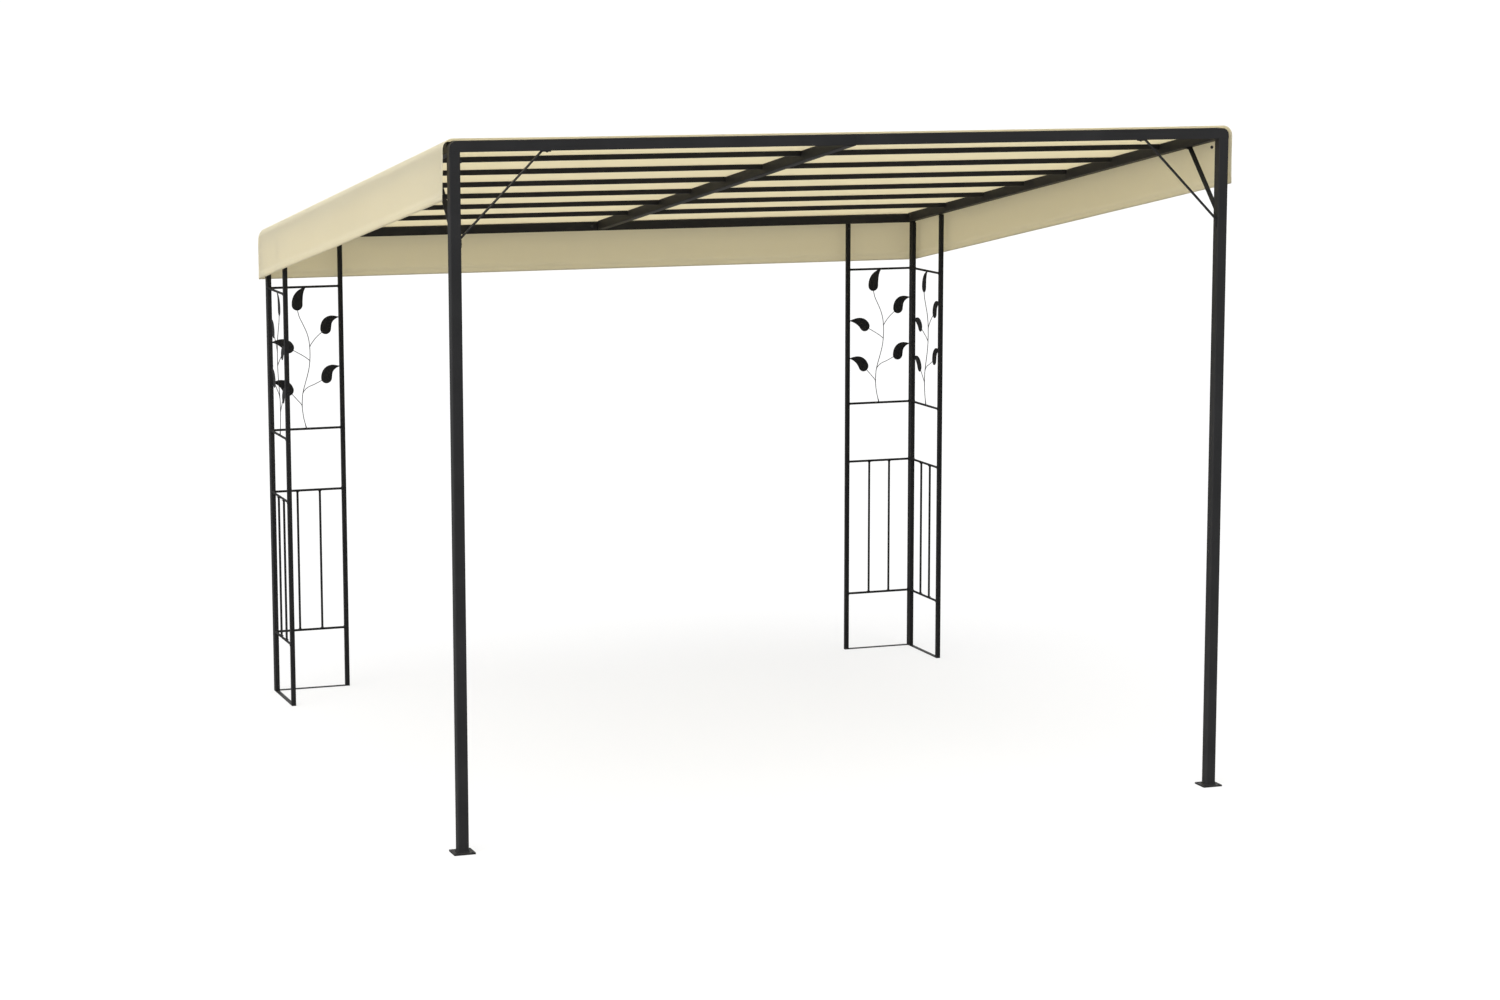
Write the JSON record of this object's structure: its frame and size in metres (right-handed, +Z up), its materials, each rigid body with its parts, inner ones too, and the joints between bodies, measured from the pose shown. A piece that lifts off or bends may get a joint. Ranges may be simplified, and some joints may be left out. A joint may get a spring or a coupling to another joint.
{
  "type": "lean-to garden gazebo",
  "caption": "Lean-to steel gazebo with a sloping fabric canopy and hanging valances, on tall square posts and L-shaped trellis columns with leaf sprays.",
  "frame": {"origin": "floor level, middle of the footprint's bounding box", "axes": "+Z up, +X right along the high and low beams, +Y from the high side with the two posts to the low side with the trellis columns"},
  "size_m": [3, 3.006, 2.4829],
  "materials": {
    "frame_steel": "black powder coat, fine satin texture",
    "canopy_cloth": "cream woven polyester, matt"
  },
  "bodies": {
    "root": {"post_left_lower": "frame_steel", "post_left_upper": "frame_steel", "post_left_sleeve": "frame_steel", "base_plate_left": "frame_steel", "front_beam_left": "frame_steel", "rear_beam_left": "frame_steel", "side_beam_left": "frame_steel", "front_brace_left": "frame_steel", "side_brace_left": "frame_steel", "purlin_left_1": "frame_steel", "purlin_left_2": "frame_steel", "purlin_left_3": "frame_steel", "purlin_left_4": "frame_steel", "purlin_left_5": "frame_steel", "purlin_left_6": "frame_steel", "rear_panel_left_corner_upright": "frame_steel", "rear_panel_left_free_upright": "frame_steel", "side_panel_left_corner_upright": "frame_steel", "side_panel_left_free_upright": "frame_steel", "rear_panel_left_grille": "frame_steel", "side_panel_left_grille": "frame_steel", "rear_panel_left_leaf_spray": "frame_steel", "side_panel_left_leaf_spray": "frame_steel", "rear_panel_left_foot_strip": "frame_steel", "side_panel_left_foot_strip": "frame_steel", "post_right_lower": "frame_steel", "post_right_upper": "frame_steel", "post_right_sleeve": "frame_steel", "base_plate_right": "frame_steel", "front_beam_right": "frame_steel", "rear_beam_right": "frame_steel", "side_beam_right": "frame_steel", "front_brace_right": "frame_steel", "side_brace_right": "frame_steel", "purlin_right_1": "frame_steel", "purlin_right_2": "frame_steel", "purlin_right_3": "frame_steel", "purlin_right_4": "frame_steel", "purlin_right_5": "frame_steel", "purlin_right_6": "frame_steel", "rear_panel_right_corner_upright": "frame_steel", "rear_panel_right_free_upright": "frame_steel", "side_panel_right_corner_upright": "frame_steel", "side_panel_right_free_upright": "frame_steel", "rear_panel_right_grille": "frame_steel", "side_panel_right_grille": "frame_steel", "rear_panel_right_leaf_spray": "frame_steel", "side_panel_right_leaf_spray": "frame_steel", "rear_panel_right_foot_strip": "frame_steel", "side_panel_right_foot_strip": "frame_steel", "front_beam_sleeve": "frame_steel", "rear_beam_sleeve": "frame_steel", "centre_rafter": "frame_steel", "canopy_top": "canopy_cloth", "valance_left": "canopy_cloth", "valance_right": "canopy_cloth", "valance_rear": "canopy_cloth"}
  },
  "joints": []
}
